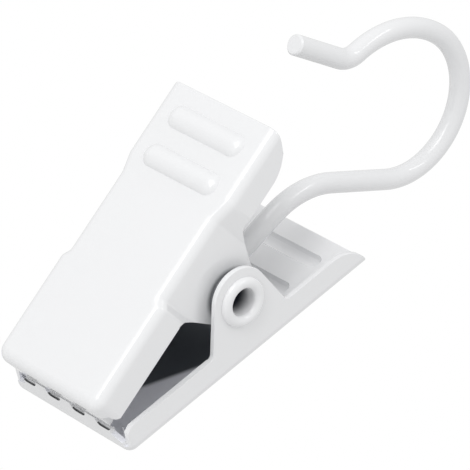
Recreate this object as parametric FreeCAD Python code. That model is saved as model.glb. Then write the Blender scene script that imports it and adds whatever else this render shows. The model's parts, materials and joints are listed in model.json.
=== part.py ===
import FreeCAD, Part
import math
import os

os.makedirs("parts", exist_ok=True)

# Driving dimensions, in millimetres and degrees

sheet = 0.55                # thickness of the stamped steel sheet
bend_radius = 1.1           # outer radius of every fold between a plate and its walls
jaw_angle = 12.1            # lean of each jaw's plate from the middle plane, jaws closed

# Front jaw, the narrower and deeper stamping
front_half_width = 7.3
front_tip = 15.8            # hinge to the outer face of the lip, along the plate
front_tail = 14.1           # hinge to the end of the handle, along the plate
front_hinge_depth = 7.34    # outer face of the plate to the hinge axis
front_wall = 3.5            # depth of the side walls
front_lip = 3.6             # depth of the lip between its teeth
front_corner = 1.3          # radius of the front corners in plan
waist_inset = 0.58          # how far the side walls step in at the ears

# Back jaw, the wider and shallower stamping
back_half_width = 8.3
lip_overhang = 0.18         # how far the back lip lies past the front lip
back_tail = 13.86
back_hinge_depth = 6.22
back_wall = 2.98
back_lip = 3.0
back_lip_end = 1.95         # depth of the back lip beside its last notch
back_lip_corner = 1.5       # depth of the back lip at its corner
back_corner = 0.9

# Ears and pin
pin_radius = 1.75           # outside of the eyelet's tube
pin_bore = 1.3              # inside of the eyelet's tube
running_gap = 0.05          # front ears and hook eye on the pin
seat_gap = 0.01             # back ears on the pin
flange_radius = 2.4         # rolled ends of the eyelet
front_ear_radius = 2.95
back_ear_radius = 3.05
back_ear_rise = 0.28        # the back ear's round end lies this far past the hinge axis
side_play = 0.08            # between the front ears' collars and the back ears

# Grip ribs on both handles
rib_half_width = 1.15
rib_height = 0.6
rib_half_length = 5.05
rib_first = 3.05            # end of the handle to the first rib
rib_pitch = 4.12

# Teeth of the front lip and notches of the back lip
tooth_pitch = 3.6
tooth_half_width = 0.85
tooth_length = 0.7
tooth_gap = 0.02            # depth that the notches have beyond the teeth

# Hook
hook_wire = 1.0             # radius of the hook's wire
hook_stem = 9.68            # hinge to the first bend
hook_out_radius = 8.9       # first bend, toward the back
hook_out_angle = 47.0
hook_slant = 6.98           # straight run up to the bight
bight_radius = 7.36
bight_angle = 159.5
shoulder_radius = 9.8       # slower bend down the open side
shoulder_angle = 60.4
flare_radius = 2.4          # bend that turns the tip outward
flare_angle = 53.8
flare_length = 6.06
eye_turn = 276.0            # how far the eye goes round the pin

# Spring
spring_wire = 0.42          # radius of the spring's wire
spring_coil = 2.5           # middle radius of the coils
spring_inner_side = 2.7     # side position of the bridge's legs
spring_turns = 2            # full turns in each coil, besides the part turn between its legs
spring_back_reach = 4.6
spring_front_reach = 7.6
spring_bend = 1.0
spring_touch = 0.03         # left between a leg and the plate that it presses


def rounded_face(corners):
    """A flat face in the XY plane from (x, y, radius) corners, each rounded by its own radius."""
    total = len(corners)
    starts = []
    ends = []
    middles = []
    for index in range(total):
        x, y, radius = corners[index]
        here = FreeCAD.Vector(x, y, 0)
        before = FreeCAD.Vector(corners[index - 1][0], corners[index - 1][1], 0)
        after = FreeCAD.Vector(corners[(index + 1) % total][0], corners[(index + 1) % total][1], 0)
        inward = (before - here).normalize()
        onward = (after - here).normalize()
        opening = inward.getAngle(onward)
        if radius <= 0:
            starts.append(here)
            ends.append(here)
            middles.append(None)
            continue
        reach = radius / math.tan(opening / 2)
        bisector = (inward + onward).normalize()
        starts.append(here + inward * reach)
        ends.append(here + onward * reach)
        middles.append(here + bisector * (radius / math.sin(opening / 2) - radius))
    edges = []
    for index in range(total):
        if middles[index] is not None:
            edges.append(Part.Arc(starts[index], middles[index], ends[index]).toShape())
        following = starts[(index + 1) % total]
        if ends[index].distanceToPoint(following) > 1e-6:
            edges.append(Part.makeLine(ends[index], following))
    return Part.Face(Part.Wire(edges))


def inset(corners, distance):
    """The same outline moved inward by a distance; corners run anticlockwise."""
    total = len(corners)
    moved = []
    for index in range(total):
        x, y, radius = corners[index]
        here = FreeCAD.Vector(x, y, 0)
        before = FreeCAD.Vector(corners[index - 1][0], corners[index - 1][1], 0)
        after = FreeCAD.Vector(corners[(index + 1) % total][0], corners[(index + 1) % total][1], 0)
        first = (here - before).normalize()
        second = (after - here).normalize()
        left_of_first = FreeCAD.Vector(-first.y, first.x, 0)
        left_of_second = FreeCAD.Vector(-second.y, second.x, 0)
        halfway = (left_of_first + left_of_second).normalize()
        shift = distance / halfway.dot(left_of_first)
        turn = first.x * second.y - first.y * second.x
        if radius > 0 and turn > 0:
            radius = max(radius - distance, 0.1)
        elif radius > 0:
            radius = radius + distance
        point = here + halfway * shift
        moved.append((point.x, point.y, radius))
    return moved


def fold_edges(solid, height, tail):
    """The edges of a block's top face, without the one at the end of the handle."""
    chosen = []
    for edge in solid.Edges:
        box = edge.BoundBox
        if abs(box.ZMin - height) < 1e-6 and abs(box.ZMax - height) < 1e-6:
            if box.YMin < tail - 1e-6:
                chosen.append(edge)
    return chosen


def side_prism(corners, half_width):
    """A prism right across the jaw whose section is drawn in (along the plate, height)."""
    face = rounded_face(corners)
    face.rotate(FreeCAD.Vector(0, 0, 0), FreeCAD.Vector(1, 1, 1), 120)
    face.translate(FreeCAD.Vector(-half_width, 0, 0))
    return face.extrude(FreeCAD.Vector(2 * half_width, 0, 0))


def front_prism(corners, start, length):
    """A prism along the plate whose section is drawn in (across the jaw, height)."""
    face = rounded_face(corners)
    face.rotate(FreeCAD.Vector(0, 0, 0), FreeCAD.Vector(1, 0, 0), 90)
    face.translate(FreeCAD.Vector(0, start, 0))
    return face.extrude(FreeCAD.Vector(0, length, 0))


def capsule(radius, half_length, along, height):
    """A round-ended bar across the jaw."""
    straight = half_length - radius
    centre = FreeCAD.Vector(-straight, along, height)
    bar = Part.makeCylinder(radius, 2 * straight, centre, FreeCAD.Vector(1, 0, 0))
    left = Part.makeSphere(radius, centre)
    right = Part.makeSphere(radius, FreeCAD.Vector(straight, along, height))
    return bar.multiFuse([left, right])


def ear_apex(front_root, rear_root, centre, radius):
    """Where the two straight sides of an ear would meet, both touching the ear's round end."""
    lines = []
    for root, side in ((front_root, -1), (rear_root, 1)):
        across = centre[0] - root[0]
        down = centre[1] - root[1]
        span = math.hypot(across, down)
        direction = math.atan2(down, across) + side * math.asin(radius / span)
        lines.append((root, (math.cos(direction), math.sin(direction))))
    (first, first_way), (second, second_way) = lines
    cross = first_way[0] * second_way[1] - first_way[1] * second_way[0]
    gap_along = second[0] - first[0]
    gap_down = second[1] - first[1]
    step = (gap_along * second_way[1] - gap_down * second_way[0]) / cross
    return first[0] + first_way[0] * step, first[1] + first_way[1] * step


def stamped_channel(outline, tail, depth):
    """A plate with folded walls of even thickness on every side but the end of the handle."""
    outer = rounded_face(outline)
    outer.translate(FreeCAD.Vector(0, 0, -depth))
    outer = outer.extrude(FreeCAD.Vector(0, 0, depth))
    outer = outer.makeFillet(bend_radius, fold_edges(outer, 0, tail))
    inner_outline = []
    for x, y, radius in inset(outline, sheet):
        if y > tail - 2 * sheet:
            y = tail + 4
        inner_outline.append((x, y, radius))
    inner = rounded_face(inner_outline)
    inner.translate(FreeCAD.Vector(0, 0, -depth - 1))
    inner = inner.extrude(FreeCAD.Vector(0, 0, depth + 1 - sheet))
    inner = inner.makeFillet(bend_radius - sheet, fold_edges(inner, -sheet, tail + 4))
    return outer, inner


def ribbed(outer, inner, tail):
    """The channel with its two grip ribs pressed outward."""
    curve = (rib_half_width ** 2 + rib_height ** 2) / (2 * rib_height)
    sunk = curve - rib_height
    above = Part.makeBox(60, 80, 5, FreeCAD.Vector(-30, -40, -0.01))
    shell = outer
    hollows = [inner]
    for number in range(2):
        along = tail - rib_first - number * rib_pitch
        ends = rib_half_length + curve - rib_half_width
        shell = shell.fuse(capsule(curve, ends, along, -sunk).common(above))
        hollows.append(capsule(curve - sheet, ends - sheet, along, -sunk))
    return shell.cut(hollows[0]).cut(hollows[1]).cut(hollows[2])


def tooth_places():
    return [(number - 1.5) * tooth_pitch for number in range(4)]


def make_front_jaw():
    wide = front_half_width
    narrow = front_half_width - waist_inset
    step_back = front_ear_radius + 3.3
    step_in = front_ear_radius + 1.35
    outline_right = [
        (wide, step_back, 1.2),
        (narrow, step_in, 1.2),
    ]
    outline_front = [
        (narrow, -front_ear_radius - 1.1, 0.5),
        (wide, -front_ear_radius - 1.8, 0.5),
    ]
    outline = [(wide, front_tail, 0), (-wide, front_tail, 0)]
    outline += [(-x, y, r) for x, y, r in outline_right]
    outline += [(-x, y, r) for x, y, r in outline_front]
    outline += [(-wide, -front_tip, front_corner), (wide, -front_tip, front_corner)]
    outline += list(reversed(outline_front)) + list(reversed(outline_right))
    outer, inner = stamped_channel(outline, front_tail, front_hinge_depth + 5)
    shell = ribbed(outer, inner, front_tail)

    # side outline: lip, wall, ear, wall, rounded end of the handle
    centre = (0.0, -front_hinge_depth)
    front_root = (-front_ear_radius - 1.75, -front_wall)
    rear_root = (front_ear_radius + 2.35, -front_wall)
    apex = ear_apex(front_root, rear_root, centre, front_ear_radius)
    deepest = -front_lip - tooth_length
    side = [
        (front_tail, 3, 0),
        (-front_tip - 2, 3, 0),
        (-front_tip - 2, deepest, 0),
        (-front_tip + bend_radius, deepest, 0),
        (-front_tip + bend_radius, -front_wall, 0),
        (front_root[0], front_root[1], 0.8),
        (apex[0], apex[1], front_ear_radius),
        (rear_root[0], rear_root[1], 1.2),
        (front_tail, -front_wall, 1.2 * front_wall),
    ]
    shell = shell.common(side_prism(side, 40))

    # teeth along the lip
    gaps = Part.makeBox(60, 6, 6, FreeCAD.Vector(-30, -front_tip - 3, -front_lip - 6))
    for place in tooth_places():
        tooth = [
            (place - tooth_half_width - 0.2, -front_lip + 1, 0),
            (place - tooth_half_width, deepest, 0.65),
            (place + tooth_half_width, deepest, 0.65),
            (place + tooth_half_width + 0.2, -front_lip + 1, 0),
        ]
        gaps = gaps.cut(front_prism(tooth, -front_tip + 5, -10))
    ear_guard = Part.makeBox(60, 30, 30, FreeCAD.Vector(-30, -front_tip + 1.6, -30))
    shell = shell.cut(gaps.cut(ear_guard))

    # relief slots where the lip and the walls part at the front corners
    lip_end = tooth_pitch * 1.5 + tooth_half_width + 0.15
    slot = [
        (-front_tip - 2, -2.35, 0),
        (-front_tip + 0.5, -2.35, 0.2),
        (-front_tip + 0.62, -front_wall + 0.05, 0.95),
        (-front_tip + 2.8, -front_wall - 0.45, 0),
        (-front_tip + 2.8, -8, 0),
        (-front_tip - 2, -8, 0),
    ]
    slot = side_prism(list(reversed(slot)), 40)
    keep = Part.makeBox(2 * lip_end, 60, 60, FreeCAD.Vector(-lip_end, -40, -30))
    shell = shell.cut(slot.cut(keep))

    # pin holes, and the collars drawn outward round them
    collar = back_half_width - sheet - narrow - side_play
    along_x = FreeCAD.Vector(1, 0, 0)
    for side_sign in (-1, 1):
        start = FreeCAD.Vector(side_sign * (narrow - 0.2), 0, -front_hinge_depth)
        ring = Part.makeCylinder(pin_radius + running_gap + sheet, collar + 0.2, start, along_x * side_sign)
        shell = shell.fuse(ring)
    hole = Part.makeCylinder(pin_radius + running_gap, 60, FreeCAD.Vector(-30, 0, -front_hinge_depth), along_x)
    shell = shell.cut(hole)
    return shell.removeSplitter()


def make_back_jaw():
    wide = back_half_width
    back_tip = front_tip + lip_overhang
    outline = [
        (wide, back_tail, 0),
        (-wide, back_tail, 0),
        (-wide, -back_tip, back_corner),
        (wide, -back_tip, back_corner),
    ]
    outer, inner = stamped_channel(outline, back_tail, back_hinge_depth + 5)
    shell = ribbed(outer, inner, back_tail)

    centre = (0.0, -back_hinge_depth - back_ear_rise)
    front_root = (-back_ear_radius - 1.75, -back_wall)
    rear_root = (back_ear_radius + 1.3, -back_wall)
    apex = ear_apex(front_root, rear_root, centre, back_ear_radius)
    side = [
        (back_tail, 3, 0),
        (-back_tip - 2, 3, 0),
        (-back_tip - 2, -back_lip, 0),
        (-back_tip + bend_radius, -back_lip, 0),
        (-back_tip + bend_radius, -back_wall, 0),
        (front_root[0], front_root[1], 0.5),
        (apex[0], apex[1], back_ear_radius),
        (rear_root[0], rear_root[1], 0.5),
        (back_tail, -back_wall, 1.2 * back_wall),
    ]
    shell = shell.common(side_prism(side, 40))

    # notches for the front jaw's teeth
    floor = back_lip - tooth_length - tooth_gap
    for place in tooth_places():
        half = tooth_half_width + 0.12
        notch = [
            (place - half - 0.25, -back_lip - 1, 0),
            (place + half + 0.25, -back_lip - 1, 0),
            (place + half, -floor, 0.65),
            (place - half, -floor, 0.65),
        ]
        shell = shell.cut(front_prism(notch, -back_tip + 1.5, -4))

    # ends of the lip, lower than the rest, and the slits beside the walls
    outer_tooth = tooth_pitch * 1.5 + tooth_half_width
    lip_end = back_half_width - sheet - 0.1
    for side_sign in (-1, 1):
        end = [
            (side_sign * outer_tooth, -back_lip_end, 0),
            (side_sign * (lip_end + 0.05), -back_lip_corner, 0),
            (side_sign * (lip_end + 0.05), -back_lip - 2, 0),
            (side_sign * outer_tooth, -back_lip - 2, 0),
        ]
        shell = shell.cut(front_prism(end, -back_tip + sheet + 0.05, -4))
    slot = [
        (-back_tip - 2, -bend_radius, 0),
        (-back_tip + 0.36, -bend_radius, 0.1),
        (-back_tip + 0.6, -back_wall + 0.1, 1.2),
        (-back_tip + 2.6, -back_wall - 0.35, 0),
        (-back_tip + 2.6, -8, 0),
        (-back_tip - 2, -8, 0),
    ]
    slot = side_prism(list(reversed(slot)), 40)
    keep = Part.makeBox(2 * lip_end, 60, 60, FreeCAD.Vector(-lip_end, -40, -30))
    shell = shell.cut(slot.cut(keep))

    start = FreeCAD.Vector(-30, 0, -back_hinge_depth)
    hole = Part.makeCylinder(pin_radius + seat_gap, 60, start, FreeCAD.Vector(1, 0, 0))
    return shell.cut(hole).removeSplitter()


def place_jaw(shape, hinge_depth, is_back):
    """Turns a jaw from its own flat frame to its place about the hinge."""
    shape.translate(FreeCAD.Vector(0, 0, hinge_depth))
    origin = FreeCAD.Vector(0, 0, 0)
    if is_back:
        shape.rotate(origin, FreeCAD.Vector(0, 1, 0), 180)
        shape.rotate(origin, FreeCAD.Vector(1, 0, 0), 90 - jaw_angle)
    else:
        shape.rotate(origin, FreeCAD.Vector(1, 0, 0), 90 + jaw_angle)
    return shape


def make_hinge_pin():
    """A tubular rivet with both ends rolled over the back jaw's ears."""
    roll = (flange_radius - pin_bore) / 2
    middle = pin_bore + roll
    face_side = back_half_width + seat_gap
    points = [
        FreeCAD.Vector(-face_side, pin_bore, 0),
        FreeCAD.Vector(face_side, pin_bore, 0),
        FreeCAD.Vector(face_side + roll, middle, 0),
        FreeCAD.Vector(face_side, flange_radius, 0),
        FreeCAD.Vector(face_side, pin_radius, 0),
        FreeCAD.Vector(-face_side, pin_radius, 0),
        FreeCAD.Vector(-face_side, flange_radius, 0),
        FreeCAD.Vector(-face_side - roll, middle, 0),
    ]
    edges = [
        Part.makeLine(points[0], points[1]),
        Part.Arc(points[1], points[2], points[3]).toShape(),
        Part.makeLine(points[3], points[4]),
        Part.makeLine(points[4], points[5]),
        Part.makeLine(points[5], points[6]),
        Part.Arc(points[6], points[7], points[0]).toShape(),
    ]
    section = Part.Face(Part.Wire(edges))
    return section.revolve(FreeCAD.Vector(0, 0, 0), FreeCAD.Vector(1, 0, 0), 360)


def hook_side():
    """The hook's eye has room to slide on the pin, and stands a little to one side of the middle."""
    return hook_wire + 0.05


def eye_radius():
    return pin_radius + running_gap + hook_wire


def straight_wire(radius, start, end):
    """A round bar between two points."""
    way = end - start
    return Part.makeCylinder(radius, way.Length, start, way)


def curved_wire(radius, start, centre, axis, angle):
    """Round wire along an arc that starts at a point and turns about an axis by an angle in degrees."""
    along = axis.cross(start - centre)
    disc = Part.Face(Part.Wire(Part.makeCircle(radius, start, along)))
    return disc.revolve(centre, axis, angle)


def bent_wire(radius, start, heading, steps, side):
    """Round wire in a plane across the hinge axis: ("line", length) or ("arc", radius, turn in degrees).
    Returns its pieces, the end point, the end heading and the centre of each arc."""
    pieces = []
    centres = []
    y, z = start
    for step in steps:
        way = (math.cos(heading), math.sin(heading))
        here = FreeCAD.Vector(side, y, z)
        if step[0] == "line":
            y += way[0] * step[1]
            z += way[1] * step[1]
            pieces.append(straight_wire(radius, here, FreeCAD.Vector(side, y, z)))
            continue
        hand = 1 if step[2] > 0 else -1
        centre = (y - hand * step[1] * way[1], z + hand * step[1] * way[0])
        axis_point = FreeCAD.Vector(side, centre[0], centre[1])
        pieces.append(curved_wire(radius, here, axis_point, FreeCAD.Vector(hand, 0, 0), abs(step[2])))
        turn = math.radians(step[2])
        across = (y - centre[0], z - centre[1])
        y = centre[0] + across[0] * math.cos(turn) - across[1] * math.sin(turn)
        z = centre[1] + across[0] * math.sin(turn) + across[1] * math.cos(turn)
        heading += turn
        centres.append(centre)
    return pieces, (y, z), heading, centres


def hook_steps():
    return [
        ("line", hook_stem),
        ("arc", hook_out_radius, -hook_out_angle),
        ("line", hook_slant),
        ("arc", bight_radius, bight_angle),
        ("arc", shoulder_radius, shoulder_angle),
        ("arc", flare_radius, -flare_angle),
        ("line", flare_length),
    ]


def make_hook():
    side = hook_side()
    start = (eye_radius(), 0.0)
    pieces, end, heading, centres = bent_wire(hook_wire, start, math.pi / 2, hook_steps(), side)

    # the eye goes down from the stem and round under the pin
    eye_start = FreeCAD.Vector(side, eye_radius(), 0)
    middle = FreeCAD.Vector(side, 0, 0)
    eye = curved_wire(hook_wire, eye_start, middle, FreeCAD.Vector(-1, 0, 0), eye_turn)
    solid = pieces[0].multiFuse(pieces[1:] + [eye])

    # the cut end of the tip has a small chamfer
    tip = FreeCAD.Vector(side, end[0], end[1])
    way = FreeCAD.Vector(0, math.cos(heading), math.sin(heading))
    bevel = hook_wire * 0.15
    blank = Part.makeCylinder(hook_wire * 2, bevel, tip - way * bevel, way)
    cone = Part.makeCone(hook_wire, hook_wire - bevel, bevel, tip - way * bevel, way)
    return solid.cut(blank.cut(cone)).removeSplitter()


def seat_centre():
    """Middle of the bight, where the rod goes; it is the origin of the finished part."""
    start = (eye_radius(), 0.0)
    pieces, end, heading, centres = bent_wire(hook_wire, start, math.pi / 2, hook_steps(), hook_side())
    return FreeCAD.Vector(hook_side(), centres[1][0], centres[1][1])


def make_spring():
    """A double torsion spring: leg, coil, bridge, coil, leg in one wire."""
    lean = math.radians(jaw_angle)
    back_gap = back_hinge_depth - sheet - spring_wire - spring_touch
    front_gap = front_hinge_depth - sheet - spring_wire - spring_touch
    back_end = (back_gap * math.cos(lean) + spring_back_reach * math.sin(lean),
                -back_gap * math.sin(lean) + spring_back_reach * math.cos(lean))
    front_end = (-front_gap * math.cos(lean) - spring_front_reach * math.sin(lean),
                 -front_gap * math.sin(lean) + spring_front_reach * math.cos(lean))

    def leave_angle(end, hand):
        span = math.hypot(end[0], end[1])
        return math.atan2(end[1], end[0]) - hand * math.acos(spring_coil / span)

    def on_coil(across, angle):
        return FreeCAD.Vector(across, spring_coil * math.cos(angle), spring_coil * math.sin(angle))

    last = leave_angle(back_end, 1)
    first = leave_angle(front_end, -1)
    outer = front_half_width - waist_inset - sheet - 0.3 - spring_wire
    inner = spring_inner_side
    part_turn = (last - first) % (2 * math.pi)
    half_turns = 2 * spring_turns
    rise = (outer - inner) / half_turns
    along_x = FreeCAD.Vector(1, 0, 0)

    # one side: half the bridge, a bend, the front leg, the coil and the back leg
    corner = FreeCAD.Vector(inner, front_end[0], front_end[1])
    foot = on_coil(inner, first)
    leg_way = (foot - corner).normalize()
    bridge_end = corner - along_x * spring_bend
    bend_centre = bridge_end + leg_way * spring_bend
    leg_start = corner + leg_way * spring_bend
    bridge_middle = FreeCAD.Vector(0, front_end[0], front_end[1])
    side = [
        straight_wire(spring_wire, bridge_middle, bridge_end),
        curved_wire(spring_wire, bridge_end, bend_centre, leg_way.cross(along_x) * -1, 90),
        straight_wire(spring_wire, leg_start, foot),
        curved_wire(spring_wire, foot, FreeCAD.Vector(inner, 0, 0), along_x, math.degrees(part_turn)),
    ]
    across = inner
    angle = first + part_turn
    for number in range(half_turns):
        start = on_coil(across, angle)
        finish = on_coil(across + rise, angle + math.pi)
        centre = (start + finish) * 0.5
        onward = FreeCAD.Vector(0, -math.sin(angle), math.cos(angle))
        axis = (start - centre).cross(onward).normalize()
        side.append(curved_wire(spring_wire, start, centre, axis, 180))
        across += rise
        angle += math.pi
    side.append(straight_wire(spring_wire, on_coil(outer, last), FreeCAD.Vector(outer, back_end[0], back_end[1])))
    other = [piece.mirror(FreeCAD.Vector(0, 0, 0), along_x) for piece in side]
    return side[0].multiFuse(side[1:] + other).removeSplitter()


pieces = {
    "front_jaw": place_jaw(make_front_jaw(), front_hinge_depth, False),
    "back_jaw": place_jaw(make_back_jaw(), back_hinge_depth, True),
    "hinge_pin": make_hinge_pin(),
    "torsion_spring": make_spring(),
    "hook": make_hook(),
}
seat = seat_centre()
for name, shape in pieces.items():
    shape.translate(seat * -1)
    if shape.ShapeType == "Compound" and len(shape.Solids) == 1:
        shape = shape.Solids[0]
    print(name, shape.ShapeType, "solids", len(shape.Solids), "valid", shape.isValid(),
          "volume", round(shape.Volume, 2), "box", shape.BoundBox)
    shape.exportStep("parts/" + name + ".step")
print("hinge axis at", seat * -1)
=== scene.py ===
# %% [markdown]
# A sprung curtain clip with a wire hook
#
# The object is a small clip of stamped and painted steel. Two jaws turn on a hollow hinge pin,
# a spring inside presses their lips together, and a bent wire hook swings on the same pin.
# The CAD frame already holds the five solids in place. This notebook loads them, gives the cut
# edges the soft rim that paint leaves, bends the wire hook and rolls the pin afresh with the
# spin operator, paints everything, and sets up light and camera.

# %% Load the frame
import json
import math

import bmesh
import bpy
from mathutils import Matrix, Vector


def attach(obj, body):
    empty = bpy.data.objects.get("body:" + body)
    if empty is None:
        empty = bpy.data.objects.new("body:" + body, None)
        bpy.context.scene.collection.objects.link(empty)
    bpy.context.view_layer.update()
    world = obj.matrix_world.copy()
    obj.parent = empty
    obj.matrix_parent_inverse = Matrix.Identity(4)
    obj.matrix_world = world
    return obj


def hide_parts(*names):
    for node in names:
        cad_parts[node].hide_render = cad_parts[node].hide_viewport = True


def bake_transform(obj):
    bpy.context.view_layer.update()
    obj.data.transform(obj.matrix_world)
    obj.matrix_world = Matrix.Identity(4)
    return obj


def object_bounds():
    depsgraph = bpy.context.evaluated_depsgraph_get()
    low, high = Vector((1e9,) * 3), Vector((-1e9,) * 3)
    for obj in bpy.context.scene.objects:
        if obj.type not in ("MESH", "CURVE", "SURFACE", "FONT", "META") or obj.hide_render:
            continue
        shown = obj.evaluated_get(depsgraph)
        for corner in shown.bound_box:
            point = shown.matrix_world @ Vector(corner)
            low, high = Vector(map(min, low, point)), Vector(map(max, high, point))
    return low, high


bpy.ops.wm.read_factory_settings(use_empty=True)
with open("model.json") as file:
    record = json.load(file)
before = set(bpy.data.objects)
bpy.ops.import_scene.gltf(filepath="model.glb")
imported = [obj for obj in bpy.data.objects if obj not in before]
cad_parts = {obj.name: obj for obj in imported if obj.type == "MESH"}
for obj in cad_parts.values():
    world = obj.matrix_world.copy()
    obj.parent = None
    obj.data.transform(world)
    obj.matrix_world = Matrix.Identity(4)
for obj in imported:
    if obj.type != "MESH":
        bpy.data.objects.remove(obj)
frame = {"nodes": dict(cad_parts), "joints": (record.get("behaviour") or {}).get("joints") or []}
cad_low, cad_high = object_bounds()
nodes = frame["nodes"]
hinge = Vector(frame["joints"][0]["pos_m"])
MM = 0.001
print("nodes", sorted(nodes), "hinge at", [round(value / MM, 3) for value in hinge], "mm")

# %% [markdown]
# Paint
#
# The clip is coated in a thick gloss white. A Principled shader does this by itself: a pale base
# colour, a low roughness, and a clear coat for the sharpest part of the highlight.
# A slow noise on Object coordinates moves the roughness a little, because sprayed paint
# never flows out perfectly even. The hook looks a shade greyer in the photo, so its paint is
# a shade greyer.

# %% Gloss white paint
PAINT_COLOUR = (0.86, 0.865, 0.875, 1.0)
WIRE_COLOUR = (0.84, 0.845, 0.855, 1.0)
COAT_WEIGHT = 0.5
COAT_ROUGHNESS = 0.03
PAINT_ROUGHNESS = (0.12, 0.2)
UNEVENNESS_SCALE = 260.0
UNEVENNESS_DETAIL = 2.0


def new_material(name):
    """A new material and its Principled shader."""
    material = bpy.data.materials.new(name)
    material.use_nodes = True
    return material, material.node_tree.nodes["Principled BSDF"]


def add_uneven_gloss(tree, shader):
    place = tree.nodes.new("ShaderNodeTexCoord")
    noise = tree.nodes.new("ShaderNodeTexNoise")
    noise.inputs["Scale"].default_value = UNEVENNESS_SCALE
    noise.inputs["Detail"].default_value = UNEVENNESS_DETAIL
    spread = tree.nodes.new("ShaderNodeMapRange")
    spread.inputs["To Min"].default_value = PAINT_ROUGHNESS[0]
    spread.inputs["To Max"].default_value = PAINT_ROUGHNESS[1]
    tree.links.new(place.outputs["Object"], noise.inputs["Vector"])
    tree.links.new(noise.outputs["Fac"], spread.inputs["Value"])
    tree.links.new(spread.outputs["Result"], shader.inputs["Roughness"])


def make_white_paint(name, colour):
    material, shader = new_material(name)
    shader.inputs["Base Color"].default_value = colour
    shader.inputs["Coat Weight"].default_value = COAT_WEIGHT
    shader.inputs["Coat Roughness"].default_value = COAT_ROUGHNESS
    add_uneven_gloss(material.node_tree, shader)
    return material


white_paint = make_white_paint("gloss_white_paint", PAINT_COLOUR)
wire_paint = make_white_paint("gloss_wire_paint", WIRE_COLOUR)
print("made", white_paint.name, "and", wire_paint.name)

# %% [markdown]
# Painted shade inside the jaws
#
# The inside of the jaws looks nearly black by the hinge and grey near the lips. That shade is
# painted into the colour: near black deep inside by the hinge, a painted shadow edge slanting
# across to the grey that lies near the open sides near the lips, and plain paint at the handles.
# A texture could show that, but two simple measures of the Object coordinates are enough: the
# height Z tells handle from jaw, and a slanted mix of height and distance from the middle gives
# the line of the painted shadow edge. Map Range nodes turn each measure into a mixing factor.

# %% Shader helpers
def add_maths(tree, operation, first, second, third=0.0):
    """A Math node whose three inputs are each a socket or a number."""
    node = tree.nodes.new("ShaderNodeMath")
    node.operation = operation
    for socket, given in zip(node.inputs, (first, second, third)):
        if isinstance(given, float):
            socket.default_value = given
        else:
            tree.links.new(given, socket)
    return node.outputs["Value"]


def add_fade(tree, measure, start, stop, below, above):
    """Mixes two colours while a measure rises from start to stop."""
    fade = tree.nodes.new("ShaderNodeMapRange")
    fade.interpolation_type = "SMOOTHSTEP"
    fade.inputs["From Min"].default_value = start
    fade.inputs["From Max"].default_value = stop
    tree.links.new(measure, fade.inputs["Value"])
    mix = tree.nodes.new("ShaderNodeMix")
    mix.data_type = "RGBA"
    colour_inputs = [socket for socket in mix.inputs if socket.type == "RGBA"]
    for socket, given in zip(colour_inputs, (below, above)):
        if isinstance(given, tuple):
            socket.default_value = given
        else:
            tree.links.new(given, socket)
    tree.links.new(fade.outputs["Result"], mix.inputs["Factor"])
    return [socket for socket in mix.outputs if socket.type == "RGBA"][0]


def add_measures(tree):
    """The distance from the middle of the clip, and the height."""
    place = tree.nodes.new("ShaderNodeTexCoord")
    split = tree.nodes.new("ShaderNodeSeparateXYZ")
    tree.links.new(place.outputs["Object"], split.inputs["Vector"])
    from_middle = add_maths(tree, "SUBTRACT", split.outputs["X"], hinge.x)
    from_middle = add_maths(tree, "ABSOLUTE", from_middle, 0.0)
    return {"from_middle": from_middle, "height": split.outputs["Z"]}


# %% Inside colour with painted shade
# The dark colour is painted shade, and the slanted fade from it is a painted shadow edge.
PAINTED_SHADE_COLOUR = (0.065, 0.073, 0.085, 1.0)
LIT_INSIDE_COLOUR = (0.86, 0.87, 0.92, 1.0)
DEEP_SHADE_BELOW = -28.5 * MM
WHITE_ABOVE = -25.0 * MM
SHADOW_EDGE_FROM = 20.2 * MM
SHADOW_EDGE_TO = 20.9 * MM
SIDE_SHARE = 0.867
DOWN_SHARE = 0.498
INSIDE_ROUGHNESS = 0.45
INSIDE_SPECULAR = 0.2


def make_inside_shade():
    material, shader = new_material("painted_shade_inside")
    tree = material.node_tree
    measures = add_measures(tree)
    sideways = add_maths(tree, "MULTIPLY", measures["from_middle"], SIDE_SHARE)
    past_shadow_edge = add_maths(tree, "MULTIPLY_ADD", measures["height"], -DOWN_SHARE, sideways)
    inner = add_fade(tree, past_shadow_edge, SHADOW_EDGE_FROM, SHADOW_EDGE_TO, PAINTED_SHADE_COLOUR, LIT_INSIDE_COLOUR)
    whole = add_fade(tree, measures["height"], DEEP_SHADE_BELOW, WHITE_ABOVE, inner, PAINT_COLOUR)
    tree.links.new(whole, shader.inputs["Base Color"])
    shader.inputs["Roughness"].default_value = INSIDE_ROUGHNESS
    shader.inputs["Specular IOR Level"].default_value = INSIDE_SPECULAR
    return material


inside_shade_material = make_inside_shade()
print("made", inside_shade_material.name)

# %% [markdown]
# Painted shade round the hinge
#
# The ears of the back jaw lie close against the walls of the front jaw, with a dark line round
# them. That dark line is painted shade: the front jaw's paint fades to a dark colour near the
# hinge axis, under and just round the ears. The measure is the distance from that axis: the hinge
# is taken off the Object coordinates, X is set to nothing, and a Vector Math node gives the length.

# %% Front jaw paint with painted shade under the ears
UNDER_EAR = 2.2 * MM
CLEAR_OF_EAR = 3.0 * MM


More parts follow.
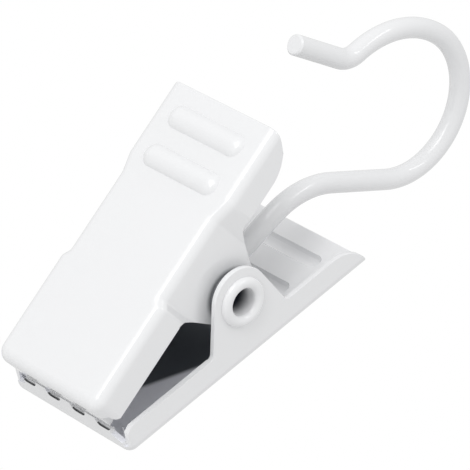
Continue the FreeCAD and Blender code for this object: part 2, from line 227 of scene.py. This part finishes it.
def make_front_paint():
    material = make_white_paint("gloss_white_front", PAINT_COLOUR)
    tree = material.node_tree
    place = tree.nodes.new("ShaderNodeTexCoord")
    shifted = tree.nodes.new("ShaderNodeVectorMath")
    shifted.operation = "SUBTRACT"
    shifted.inputs[1].default_value = hinge
    flat = tree.nodes.new("ShaderNodeVectorMath")
    flat.operation = "MULTIPLY"
    flat.inputs[1].default_value = (0.0, 1.0, 1.0)
    length = tree.nodes.new("ShaderNodeVectorMath")
    length.operation = "LENGTH"
    tree.links.new(place.outputs["Object"], shifted.inputs[0])
    tree.links.new(shifted.outputs["Vector"], flat.inputs[0])
    tree.links.new(flat.outputs["Vector"], length.inputs[0])
    from_axis = length.outputs["Value"]
    # The painted shade under the ears: dark near the hinge axis, paint further out.
    colour = add_fade(tree, from_axis, UNDER_EAR, CLEAR_OF_EAR, PAINTED_SHADE_COLOUR, PAINT_COLOUR)
    tree.links.new(colour, tree.nodes["Principled BSDF"].inputs["Base Color"])
    return material


front_paint = make_front_paint()
print("made", front_paint.name)

# %% [markdown]
# Painted shade in the bore and the notches
#
# The bore of the pin gets painted shade: it is dark deep inside, with the paint fading in toward its
# two mouths, so its colour follows the distance from the middle of the clip. The thin dark crescents
# at the notches of the back lip are painted shade too: the floor of a notch is dark along its outer
# edge, where the gap lies in shadow, and the paint begins further in, so its colour follows the height.
# The photo shows thin dark crescents at the notches of the back lip. They may be bare steel or only
# shadow.

# %% Painted shade for the bore and the notches
# Both dark colours are painted shade.
NOTCH_SHADE_COLOUR = (0.06, 0.062, 0.066, 1.0)
NOTCH_DARK_TO = -42.64 * MM
NOTCH_WHITE_FROM = -42.5 * MM
BORE_SHADE_COLOUR = (0.03, 0.036, 0.052, 1.0)
BORE_DARK_TO = 6.3 * MM
BORE_WHITE_FROM = 7.9 * MM
DULL_ROUGHNESS = 0.5


def make_shade_fade(name, measure, dark_to, white_from, shade_colour):
    """A dull material that turns from a painted shade colour to paint while one measure grows."""
    material, shader = new_material(name)
    tree = material.node_tree
    colour = add_fade(tree, add_measures(tree)[measure], dark_to, white_from, shade_colour, PAINT_COLOUR)
    tree.links.new(colour, shader.inputs["Base Color"])
    shader.inputs["Roughness"].default_value = DULL_ROUGHNESS
    return material


notch_shade = make_shade_fade("painted_shade_notch_edge", "height", NOTCH_DARK_TO, NOTCH_WHITE_FROM, NOTCH_SHADE_COLOUR)
bore_shade = make_shade_fade("painted_shade_bore", "from_middle", BORE_DARK_TO, BORE_WHITE_FROM, BORE_SHADE_COLOUR)
print("made", notch_shade.name, "and", bore_shade.name)

# %% [markdown]
# Spring steel
#
# The spring is taken as bare drawn wire, so its shader is a metal: metallic 1, a grey base colour,
# and enough roughness to blur what it mirrors.

# %% Spring finish
SPRING_COLOUR = (0.42, 0.43, 0.45, 1.0)
SPRING_ROUGHNESS = 0.32

spring_steel, spring_shader = new_material("bare_spring_steel")
spring_shader.inputs["Base Color"].default_value = SPRING_COLOUR
spring_shader.inputs["Metallic"].default_value = 1.0
spring_shader.inputs["Roughness"].default_value = SPRING_ROUGHNESS
print("made", spring_steel.name)

# %% [markdown]
# The two jaws
#
# Each jaw is one stamping: a plate folded down on three sides, with ears for the pin. The CAD mesh
# has that shape already, with knife-sharp cut edges. Paint rounds such edges, and a rounded edge is
# what catches the thin bright line that makes sheet metal look real. So each jaw is a merged copy of
# its CAD mesh: flat regions are joined into single faces, and the sharp edges are bevelled.
# The lips stay crisp, because a bevel would eat their small teeth, and an edge beside a very
# narrow face stays sharp too, because the bevel would fold over there.

# %% Edges to soften
SHARP_ANGLE = math.radians(32)
LIP_ZONE_TOP = -40.2 * MM
NARROW_FACE = 0.25 * MM


def is_sharp(edge):
    return edge.is_manifold and edge.calc_face_angle(0) > SHARP_ANGLE


def in_lip_zone(edge):
    return any(vert.co.z < LIP_ZONE_TOP for vert in edge.verts)


def thin_beside(edge):
    """True where a face beside the edge is too narrow to give up a strip to the bevel."""
    return any(face.calc_area() < edge.calc_length() * NARROW_FACE for face in edge.link_faces)


def edges_to_soften(bm):
    return [edge for edge in bm.edges
            if is_sharp(edge) and not in_lip_zone(edge) and not thin_beside(edge)]


# %% A merged copy
MERGE_DISTANCE = 0.012 * MM
FLAT_ANGLE = math.radians(0.4)
LONG_SEAM = 5 * MM
FACING_UP = 0.9


def merged_copy(node_name):
    bm = bmesh.new()
    bm.from_mesh(nodes[node_name].data)
    bmesh.ops.remove_doubles(bm, verts=bm.verts, dist=MERGE_DISTANCE)
    bmesh.ops.dissolve_degenerate(bm, dist=MERGE_DISTANCE, edges=bm.edges)
    bmesh.ops.dissolve_limit(bm, angle_limit=FLAT_ANGLE, verts=bm.verts, edges=bm.edges)
    return bm


def join_handle_end(bm):
    """The end of a handle is one slightly curved face, so the long seams across it go."""
    seams = [edge for edge in bm.edges if edge.calc_length() > LONG_SEAM and edge.is_manifold
             and all(face.normal.z > FACING_UP for face in edge.link_faces)]
    bmesh.ops.dissolve_edges(bm, edges=seams, use_verts=True)
    return len(seams)


# %% Copies with soft edges
EDGE_SOFTNESS = 0.09 * MM
EDGE_SEGMENTS = 2
HANDLE_SOFTNESS = 0.2 * MM
HANDLE_SEGMENTS = 4
HANDLE_END = 0.7 * MM


def soften(bm, edges, width, segments):
    bmesh.ops.bevel(bm, geom=edges, offset=width, offset_type="OFFSET", segments=segments,
                    profile=0.5, affect="EDGES", clamp_overlap=False, material=-1)


def soften_handle_end(bm):
    """A wider bevel for the edges at the very end of the handle."""
    handle_top = max(vert.co.z for vert in bm.verts) - HANDLE_END
    rim = [edge for edge in edges_to_soften(bm) if all(vert.co.z > handle_top for vert in edge.verts)]
    soften(bm, rim, HANDLE_SOFTNESS, HANDLE_SEGMENTS)


def soft_edged_copy(node_name, has_soft_handle):
    bm = merged_copy(node_name)
    joined = join_handle_end(bm)
    if has_soft_handle:
        soften_handle_end(bm)
    soft = edges_to_soften(bm)
    softened = len(soft)
    soften(bm, soft, EDGE_SOFTNESS, EDGE_SEGMENTS)
    for face in bm.faces:
        face.smooth = True
    for edge in bm.edges:
        if is_sharp(edge):
            edge.smooth = False
    print(node_name, "joined", joined, "seams, softened", softened, "edges, now", len(bm.faces), "faces")
    return bm


front_mesh = soft_edged_copy("front_jaw", True)
back_mesh = soft_edged_copy("back_jaw", False)

# %% [markdown]
# Thin fins
#
# The cuts that free the back lip from the back walls leave a fin beside each wall. It is only
# 0.07 mm thick and would show as a white spike, so the tops of the two fins are moved down.

# %% Lay the fins down
FIN_ACROSS = (7.5 * MM, 7.7 * MM)
FIN_TOP = Vector((0.0, -5.79 * MM, -42.05 * MM))
FIN_REACH = 0.03 * MM
FIN_DROP = Vector((0.0, 0.55 * MM, -0.115 * MM))


def lay_fins_down(bm):
    tops = [vert for vert in bm.verts if FIN_ACROSS[0] < abs(vert.co.x - hinge.x) < FIN_ACROSS[1]
            and (vert.co - FIN_TOP).yz.length < FIN_REACH]
    bmesh.ops.translate(bm, verts=tops, vec=FIN_DROP)
    return len(tops)


print("moved", lay_fins_down(back_mesh), "fin corners")

# %% [markdown]
# Which faces are inside
#
# The inside of a jaw is whatever faces its own middle. For the plate that means a normal pointing to
# the other jaw, and for a side wall a normal pointing across to the opposite wall. Those faces get
# the second material of the piece, and all others keep the first. On the back jaw the floors of the
# notches get a third material. Each test asks how squarely a face looks in a direction, as the
# dot product of its normal and that direction.

# %% Inside faces
JAW_LEAN = math.radians(12.1)
SQUARE_TO_PLATE = 0.8
SQUARE_TO_WALL = 0.6
SQUARE_TO_NOTCH = 0.3
INSIDE_DEPTH = -4.2 * MM
HINGE_HOLE_ZONE = 2.4 * MM
NOTCH_ZONE_TOP = -42.0 * MM
NOTCH_FLOOR_Y = (-5.4 * MM, -5.08 * MM)
NOTCH_ROW_HALF = 6.45 * MM
INSIDE_MATERIAL = 1
NOTCH_MATERIAL = 2


def is_inside(face, plate_inward):
    middle = face.calc_center_median() - hinge
    if middle.yz.length < HINGE_HOLE_ZONE:
        return False
    if face.normal.dot(plate_inward) > SQUARE_TO_PLATE and middle.dot(plate_inward) < INSIDE_DEPTH:
        return True
    return face.normal.x * middle.x < 0 and abs(face.normal.x) > SQUARE_TO_WALL


def is_notch_floor(face, plate_inward):
    middle = face.calc_center_median()
    at_floor = middle.z < NOTCH_ZONE_TOP and NOTCH_FLOOR_Y[0] < middle.y < NOTCH_FLOOR_Y[1]
    in_row = abs(middle.x - hinge.x) < NOTCH_ROW_HALF
    return at_floor and in_row and face.normal.dot(plate_inward) > SQUARE_TO_NOTCH


def mark_inside(bm, outward_y, has_notches):
    plate_inward = Vector((0.0, -outward_y * math.cos(JAW_LEAN), math.sin(JAW_LEAN)))
    count = 0
    for face in bm.faces:
        if has_notches and is_notch_floor(face, plate_inward):
            face.material_index = NOTCH_MATERIAL
        elif is_inside(face, plate_inward):
            face.material_index = INSIDE_MATERIAL
            count += 1
    return count


print("inside faces", mark_inside(front_mesh, -1, False), mark_inside(back_mesh, 1, True))

# %% Painted jaws
def piece_from(name, bm, *materials):
    """Turns a bmesh into an object with its materials, and frees the bmesh."""
    mesh = bpy.data.meshes.new(name)
    bm.to_mesh(mesh)
    bm.free()
    for material in materials:
        mesh.materials.append(material)
    piece = bpy.data.objects.new(name, mesh)
    bpy.context.scene.collection.objects.link(piece)
    return piece


front_shell = piece_from("front_jaw_painted", front_mesh, front_paint, inside_shade_material)
back_shell = piece_from("back_jaw_painted", back_mesh, white_paint, inside_shade_material, notch_shade)
for shell, node_name in ((front_shell, "front_jaw"), (back_shell, "back_jaw")):
    even = shell.modifiers.new("even_shading", "WEIGHTED_NORMAL")
    even.keep_sharp = True
    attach(shell, node_name)
    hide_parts(node_name)
    print(shell.name, "has", len(shell.data.materials), "materials")

# %% [markdown]
# The hook
#
# The hook is one length of round wire, bent in a single plane. A curve with a round bevel could make
# it, but a wire bender works in lines and arcs, and so do two operators: extrude carries a ring of
# edges straight on, and spin carries it round a centre. Chaining them gives even quads and exact bends.

# %% Wire bending helpers
WIRE_RADIUS = 1.0 * MM
END_CHAMFER = 0.15 * MM


def ring_parts(edges):
    verts = {vert for edge in edges for vert in edge.verts}
    return list(verts) + list(edges)


def bend_wire(bm, edges, centre, turn, steps):
    """Carries a ring of edges round a centre in the hook's plane, by a turn in degrees."""
    axis = (1.0, 0.0, 0.0) if turn > 0 else (-1.0, 0.0, 0.0)
    made = bmesh.ops.spin(bm, geom=ring_parts(edges), cent=centre, axis=axis,
                          angle=math.radians(abs(turn)), steps=steps)
    return [part for part in made["geom_last"] if isinstance(part, bmesh.types.BMEdge)]


def push_wire(bm, edges, way, length, swell=1.0):
    """Carries a ring of edges straight on, and can shrink it for a chamfer."""
    made = bmesh.ops.extrude_edge_only(bm, edges=edges)["geom"]
    verts = [part for part in made if isinstance(part, bmesh.types.BMVert)]
    bmesh.ops.translate(bm, verts=verts, vec=way * length)
    if swell != 1.0:
        middle = sum((vert.co for vert in verts), Vector()) / len(verts)
        bmesh.ops.scale(bm, verts=verts, vec=(swell, swell, swell), space=Matrix.Translation(-middle))
    return [part for part in made if isinstance(part, bmesh.types.BMEdge)]


def close_end(bm, edges, way):
    """Chamfers and fills an open end of the wire."""
    for edge in edges:
        edge.smooth = False
    rim = push_wire(bm, edges, way, END_CHAMFER, 1.0 - END_CHAMFER / WIRE_RADIUS)
    for edge in rim:
        edge.smooth = False
    bmesh.ops.contextual_create(bm, geom=rim)


# %% [markdown]
# The wire starts as a ring beside the hinge pin. One way it bends round the pin as the eye, and the
# other way it follows the list of steps: a line has a length in millimetres, and an arc has a radius in
# millimetres, a turn in degrees and the number of rings that make it smooth.

# %% Bend the hook
TIP_LENGTH = 6.06
HOOK_STEPS = (
    ("line", 9.68),
    ("arc", 8.9, -47.0, 18),
    ("line", 6.98),
    ("arc", 7.36, 159.5, 60),
    ("arc", 9.8, 60.4, 28),
    ("arc", 2.4, -53.8, 16),
    ("line", TIP_LENGTH - END_CHAMFER / MM),
)
RING_POINTS = 40
EYE_RADIUS = 2.8 * MM
EYE_TURN = 276.0
EYE_RINGS = 64
QUAD = 4


def heading_way(heading):
    """The direction of a heading in the hook's plane, in radians from the Y axis."""
    return Vector((0.0, math.cos(heading), math.sin(heading)))


def make_hook():
    bm = bmesh.new()
    start = Vector((0.0, hinge.y + EYE_RADIUS, hinge.z))
    bmesh.ops.create_circle(bm, cap_ends=False, segments=RING_POINTS, radius=WIRE_RADIUS)
    bmesh.ops.translate(bm, verts=bm.verts, vec=start)
    first_ring = list(bm.edges)
    eye_end = bend_wire(bm, first_ring, (0.0, hinge.y, hinge.z), -EYE_TURN, EYE_RINGS)
    close_end(bm, eye_end, heading_way(math.radians(-90.0 - EYE_TURN)))
    ring, place, heading = first_ring, start, math.pi / 2
    for kind, size, *arc in HOOK_STEPS:
        way = heading_way(heading)
        if kind == "line":
            ring = push_wire(bm, ring, way, size * MM)
            place = place + way * size * MM
            continue
        turn, rings = arc
        hand = 1.0 if turn > 0 else -1.0
        left = Vector((0.0, -way.z, way.y))
        centre = place + left * hand * size * MM
        ring = bend_wire(bm, ring, centre, turn, rings)
        place = centre + Matrix.Rotation(math.radians(turn), 3, "X") @ (place - centre)
        heading += math.radians(turn)
    close_end(bm, ring, heading_way(heading))
    bmesh.ops.recalc_face_normals(bm, faces=bm.faces)
    for face in bm.faces:
        face.smooth = len(face.verts) == QUAD
    print("hook has", len(bm.faces), "faces, tip at", [round(value / MM, 2) for value in place], "mm")
    return piece_from("hook_wire", bm, wire_paint)


hook = make_hook()
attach(hook, "hook")
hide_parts("hook")

# %% [markdown]
# The hinge pin
#
# The pin is an eyelet: a short tube whose ends are rolled over the ears. Its half section is a closed
# loop of straight sides and two half rounds. Spin makes the half rounds from single vertices, and a
# full spin round the hinge axis with merged ends turns the loop into the pin.

# %% Half section of the pin
PIN_OUTSIDE = 1.75 * MM
PIN_BORE = 1.3 * MM
PIN_FLANGE = 2.4 * MM
PIN_FACE = 8.31 * MM
ROLL_STEPS = 14


def add_rolled_end(bm, side):
    """Half a round from the bore to the flange, and the flat under it, on one end of the section."""
    roll_middle = hinge + Vector((side * PIN_FACE, (PIN_BORE + PIN_FLANGE) / 2, 0.0))
    bore_vert = bm.verts.new(hinge + Vector((side * PIN_FACE, PIN_BORE, 0.0)))
    made = bmesh.ops.spin(bm, geom=[bore_vert], cent=roll_middle, axis=(0.0, 0.0, side),
                          angle=math.pi, steps=ROLL_STEPS)
    flange_vert = [part for part in made["geom_last"] if isinstance(part, bmesh.types.BMVert)][0]
    tube_vert = bm.verts.new(hinge + Vector((side * PIN_FACE, PIN_OUTSIDE, 0.0)))
    bm.edges.new((flange_vert, tube_vert))
    return bore_vert, tube_vert


# %% Roll the pin
BORE_CUTS = 11
PIN_STEPS = 72
PIN_MERGE = 0.001 * MM
BORE_TOLERANCE = 1.01
BORE_MATERIAL = 1


def make_pin():
    bm = bmesh.new()
    right_bore, right_tube = add_rolled_end(bm, 1.0)
    left_bore, left_tube = add_rolled_end(bm, -1.0)
    bm.edges.new((right_tube, left_tube))
    bore_edge = bm.edges.new((left_bore, right_bore))
    bmesh.ops.subdivide_edges(bm, edges=[bore_edge], cuts=BORE_CUTS)
    bmesh.ops.spin(bm, geom=list(bm.verts) + list(bm.edges), cent=hinge, axis=(1.0, 0.0, 0.0),
                   angle=2 * math.pi, steps=PIN_STEPS, use_merge=True)
    bmesh.ops.remove_doubles(bm, verts=bm.verts, dist=PIN_MERGE)
    bmesh.ops.recalc_face_normals(bm, faces=bm.faces)
    for face in bm.faces:
        face.smooth = True
        middle = face.calc_center_median() - hinge
        if middle.yz.length < PIN_BORE * BORE_TOLERANCE and abs(middle.x) < PIN_FACE:
            face.material_index = BORE_MATERIAL
    for edge in bm.edges:
        edge.smooth = not is_sharp(edge)
    print("pin has", len(bm.faces), "faces")
    return piece_from("hinge_eyelet", bm, white_paint, bore_shade)


pin = make_pin()
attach(pin, "back_jaw")
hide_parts("hinge_pin")

# %% [markdown]
# The spring
#
# A double torsion spring sits on the pin: its bridge presses the front plate, and its two free legs
# press the back plate. When the handles are squeezed it winds up, so it can't ride one jaw alone. The
# piece is a merged copy of the CAD mesh, smoothly shaded, with its place baked in, and it is attached
# to neither jaw.

# %% Copy the spring
SPRING_MERGE = 0.002 * MM


def make_spring():
    bm = bmesh.new()
    bm.from_mesh(nodes["torsion_spring"].data)
    bmesh.ops.remove_doubles(bm, verts=bm.verts, dist=SPRING_MERGE)
    for face in bm.faces:
        face.smooth = True
    for edge in bm.edges:
        edge.smooth = not is_sharp(edge)
    print("spring has", len(bm.faces), "faces")
    return piece_from("wound_spring", bm, spring_steel)


spring = make_spring()
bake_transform(spring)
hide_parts("torsion_spring")

# %% [markdown]
# Floor and world
#
# The clip hangs before plain white with no shadow near it. The camera looks slightly upward, so the
# floor lies well below the clip and only other views see it. The world is pure white for the camera,
# and dimmer for the soft light that it sheds from all sides and for its mirror image in the gloss.

# %% White world
WORLD_LIGHT = 0.76


def make_world():
    world = bpy.data.worlds.new("white_room")
    world.use_nodes = True
    tree = world.node_tree
    background = tree.nodes["Background"]
    background.inputs["Color"].default_value = (1.0, 1.0, 1.0, 1.0)
    path = tree.nodes.new("ShaderNodeLightPath")
    strength = tree.nodes.new("ShaderNodeMapRange")
    strength.inputs["To Min"].default_value = WORLD_LIGHT
    strength.inputs["To Max"].default_value = 1.0
    tree.links.new(path.outputs["Is Camera Ray"], strength.inputs["Value"])
    tree.links.new(strength.outputs["Result"], background.inputs["Strength"])
    bpy.context.scene.world = world


make_world()
print("the world sheds", WORLD_LIGHT, "of the white that the camera sees")

# %% Floor
FLOOR_SIZE = 3.0
FLOOR_HEIGHT = -0.3
FLOOR_COLOUR = (0.9, 0.9, 0.9, 1.0)
FLOOR_ROUGHNESS = 0.8

floor_paint, floor_shader = new_material("pale_floor")
floor_shader.inputs["Base Color"].default_value = FLOOR_COLOUR
floor_shader.inputs["Roughness"].default_value = FLOOR_ROUGHNESS
floor_mesh = bmesh.new()
bmesh.ops.create_grid(floor_mesh, x_segments=1, y_segments=1, size=FLOOR_SIZE)
bmesh.ops.translate(floor_mesh, verts=floor_mesh.verts, vec=(0.0, 0.0, FLOOR_HEIGHT))
floor = piece_from("floor", floor_mesh, floor_paint)
print("floor at", FLOOR_HEIGHT, "m")

# %% [markdown]
# Lamps
#
# Three lamps are placed in the picture's own directions: right, up and toward the camera. A wide
# softbox beside the camera makes the front plate the brightest face and leaves the side walls a
# shade darker. Two narrow strip lamps are there for their mirror images: they lie along the clip, so
# the folds and the wire show them as thin white lines. The share says how much of the light that
# makes a facing white sheet pure white comes from that lamp.

# %% Picture directions
PHOTO_RIGHT = Vector((0.6407742, 0.4139656, 0.6467983))
PHOTO_UP = Vector((-0.3394217, -0.6029668, 0.7221723))

picture_right = PHOTO_RIGHT.normalized()
toward_camera = picture_right.cross(PHOTO_UP).normalized()
picture_up = toward_camera.cross(picture_right).normalized()
clip_middle = (cad_low + cad_high) / 2
clip_length = Vector((0.0, -math.sin(JAW_LEAN), math.cos(JAW_LEAN)))
print("the camera lies toward", [round(value, 3) for value in toward_camera])

# %% Lamps
LAMP_DISTANCE = 0.45


def add_lamp(name, direction, width, length, share):
    way = picture_right * direction[0] + picture_up * direction[1] + toward_camera * direction[2]
    way.normalize()
    along = (clip_length - way * clip_length.dot(way)).normalized()
    data = bpy.data.lights.new(name, "AREA")
    data.shape = "ELLIPSE"
    data.size = width
    data.size_y = length
    data.energy = share * (math.pi * LAMP_DISTANCE) ** 2
    lamp = bpy.data.objects.new(name, data)
    stand = Matrix((along.cross(way), along, way)).transposed().to_4x4()
    stand.translation = clip_middle + way * LAMP_DISTANCE
    lamp.matrix_world = stand
    bpy.context.scene.collection.objects.link(lamp)
    print(name, "at", [round(value, 3) for value in lamp.location], "energy", round(data.energy, 3))


add_lamp("camera_side_softbox", direction=(-0.25, 0.6, 0.76), width=0.36, length=0.36, share=0.24)
add_lamp("highlight_strip", direction=(-0.30, 0.38, 0.87), width=0.05, length=0.34, share=0.1)
add_lamp("wire_strip", direction=(0.7, 0.5, 0.5), width=0.05, length=0.26, share=0.07)

# %% [markdown]
# Camera
#
# A long lens gives the photo's nearly parallel lines. Its three axes are the picture directions
# above, so the camera needs no aiming: they are the columns of its matrix.

# %% Camera
SENSOR_WIDTH = 36.0
LENS = 333.3
CAMERA_FROM_HINGE = Vector((273.104, -268.508, -91.510)) * MM

camera_data = bpy.data.cameras.new("photo_camera")
camera_data.sensor_width = SENSOR_WIDTH
camera_data.lens = LENS
camera = bpy.data.objects.new("photo_camera", camera_data)
stand = Matrix((picture_right, picture_up, toward_camera)).transposed().to_4x4()
stand.translation = hinge + CAMERA_FROM_HINGE
camera.matrix_world = stand
bpy.context.scene.collection.objects.link(camera)
bpy.context.scene.camera = camera
bpy.context.scene.view_settings.view_transform = "Standard"
print("camera at", [round(value, 4) for value in camera.location])
